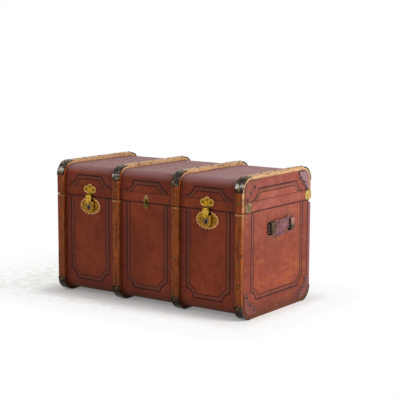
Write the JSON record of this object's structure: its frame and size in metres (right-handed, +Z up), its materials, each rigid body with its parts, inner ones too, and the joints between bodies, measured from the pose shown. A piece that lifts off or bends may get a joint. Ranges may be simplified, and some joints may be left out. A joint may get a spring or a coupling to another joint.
{
  "type": "travel trunk",
  "caption": "Slatted travel trunk with hinged lid, bent wood ribs with metal corner caps, two hasp locks, a centre dowel, leather end handles and folding lid stays.",
  "frame": {"origin": "middle of the footprint, on the surface the trunk stands on", "axes": "+X along the length to the right end, -Y to the front with the locks, +Z up"},
  "size_m": [0.9374, 0.4956, 0.5388],
  "materials": {
    "fibre_cover": "oxblood painted fibre on plywood, semi matt, worn",
    "lining_paper": "aged lining paper",
    "lip_wood": "plain wood",
    "slat_wood": "varnished bent ash, worn",
    "cap_steel": "blackened steel, rubbed bright",
    "slat_nail": "tarnished domed nails",
    "patch_leather": "worn brown leather",
    "black_rivet": "black enamelled rivets",
    "brass": "aged yellow brass",
    "dark_steel": "dull steel",
    "bracket_steel": "pressed steel, tarnished olive",
    "strap_leather": "worn handle leather"
  },
  "bodies": {
    "trunk_body": {"body_shell": "fibre_cover", "body_lining": "lining_paper", "body_lip": "lip_wood", "body_end_left": "fibre_cover", "body_end_right": "fibre_cover", "body_slat_1": "slat_wood", "body_slat_2": "slat_wood", "body_slat_3": "slat_wood", "body_slat_4": "slat_wood", "body_slat_caps": "cap_steel", "body_slat_nails": "slat_nail", "body_patches_left": "patch_leather", "body_patches_right": "patch_leather", "body_patch_rivets": "black_rivet", "lock_plate_left": "brass", "lock_plate_right": "brass", "lock_case_left": "brass", "lock_case_right": "brass", "dowel_body_half": "brass", "handle_brackets_left": "bracket_steel", "handle_brackets_right": "bracket_steel", "body_small_nails": "brass", "hinge_body_leaves": "brass", "hinge_pins": "dark_steel", "stay_body_rivets": "dark_steel"},
    "lid": {"lid_shell": "fibre_cover", "lid_lining": "lining_paper", "lid_band": "fibre_cover", "lid_end_left": "fibre_cover", "lid_end_right": "fibre_cover", "lid_slat_1": "slat_wood", "lid_slat_2": "slat_wood", "lid_slat_3": "slat_wood", "lid_slat_4": "slat_wood", "lid_slat_caps": "cap_steel", "lid_slat_nails": "slat_nail", "lid_patches_left": "patch_leather", "lid_patches_right": "patch_leather", "lid_patch_rivets": "black_rivet", "lid_rim_plates": "brass", "hasp_plate_left": "brass", "hasp_plate_right": "brass", "hasp_pins": "dark_steel", "lid_small_nails": "brass", "dowel_lid_half": "brass", "hinge_lid_leaves": "brass", "stay_lid_studs": "dark_steel"},
    "hasp_left": {"hasp_left": "brass"},
    "lock_bolt_left": {"lock_bolt_left": "dark_steel"},
    "handle_strap_left": {"handle_strap_left": "strap_leather"},
    "stay_lower_left": {"stay_lower_left": "brass"},
    "stay_upper_left": {"stay_upper_left": "brass"},
    "hasp_right": {"hasp_right": "brass"},
    "lock_bolt_right": {"lock_bolt_right": "dark_steel"},
    "handle_strap_right": {"handle_strap_right": "strap_leather"},
    "stay_lower_right": {"stay_lower_right": "brass"},
    "stay_upper_right": {"stay_upper_right": "brass"}
  },
  "joints": [
    {"name": "lid_hinge", "type": "hinge", "parent": "trunk_body", "child": "lid", "pos_m": [0, 0.2365, 0.402], "axis": [-1, 0, 0], "range_deg": [0, 100]},
    {"name": "hasp_left_hinge", "type": "hinge", "parent": "lid", "child": "hasp_left", "pos_m": [-0.286, -0.2398, 0.408], "axis": [-1, 0, 0], "range_deg": [0, 155]},
    {"name": "lock_bolt_left_slide", "type": "slide", "parent": "trunk_body", "child": "lock_bolt_left", "axis": [1, 0, 0], "range_m": [0, 0.013]},
    {"name": "handle_strap_left_play", "type": "slide", "parent": "trunk_body", "child": "handle_strap_left", "axis": [-1, 0, 0], "range_m": [0, 0.005]},
    {"name": "stay_lower_left_pivot", "type": "hinge", "parent": "trunk_body", "child": "stay_lower_left", "pos_m": [-0.43, 0.177, 0.368], "axis": [-1, 0, 0], "range_deg": [0, 102.34]},
    {"name": "stay_elbow_left_pivot", "type": "hinge", "parent": "stay_lower_left", "child": "stay_upper_left", "pos_m": [-0.43, 0.10984, 0.3904], "axis": [-1, 0, 0], "range_deg": [-99.93, 0]},
    {"name": "hasp_right_hinge", "type": "hinge", "parent": "lid", "child": "hasp_right", "pos_m": [0.286, -0.2398, 0.408], "axis": [-1, 0, 0], "range_deg": [0, 155]},
    {"name": "lock_bolt_right_slide", "type": "slide", "parent": "trunk_body", "child": "lock_bolt_right", "axis": [1, 0, 0], "range_m": [0, 0.013]},
    {"name": "handle_strap_right_play", "type": "slide", "parent": "trunk_body", "child": "handle_strap_right", "axis": [1, 0, 0], "range_m": [0, 0.005]},
    {"name": "stay_lower_right_pivot", "type": "hinge", "parent": "trunk_body", "child": "stay_lower_right", "pos_m": [0.43, 0.177, 0.368], "axis": [-1, 0, 0], "range_deg": [0, 102.34]},
    {"name": "stay_elbow_right_pivot", "type": "hinge", "parent": "stay_lower_right", "child": "stay_upper_right", "pos_m": [0.43, 0.10984, 0.3904], "axis": [-1, 0, 0], "range_deg": [-99.93, 0]}
  ],
  "couplings": [
    {"joint": "stay_lower_left_pivot", "follows": "lid_hinge", "ratio": 1.0224},
    {"joint": "stay_elbow_left_pivot", "follows": "lid_hinge", "ratio": -0.99826},
    {"joint": "stay_lower_right_pivot", "follows": "lid_hinge", "ratio": 1.0224},
    {"joint": "stay_elbow_right_pivot", "follows": "lid_hinge", "ratio": -0.99826}
  ]
}
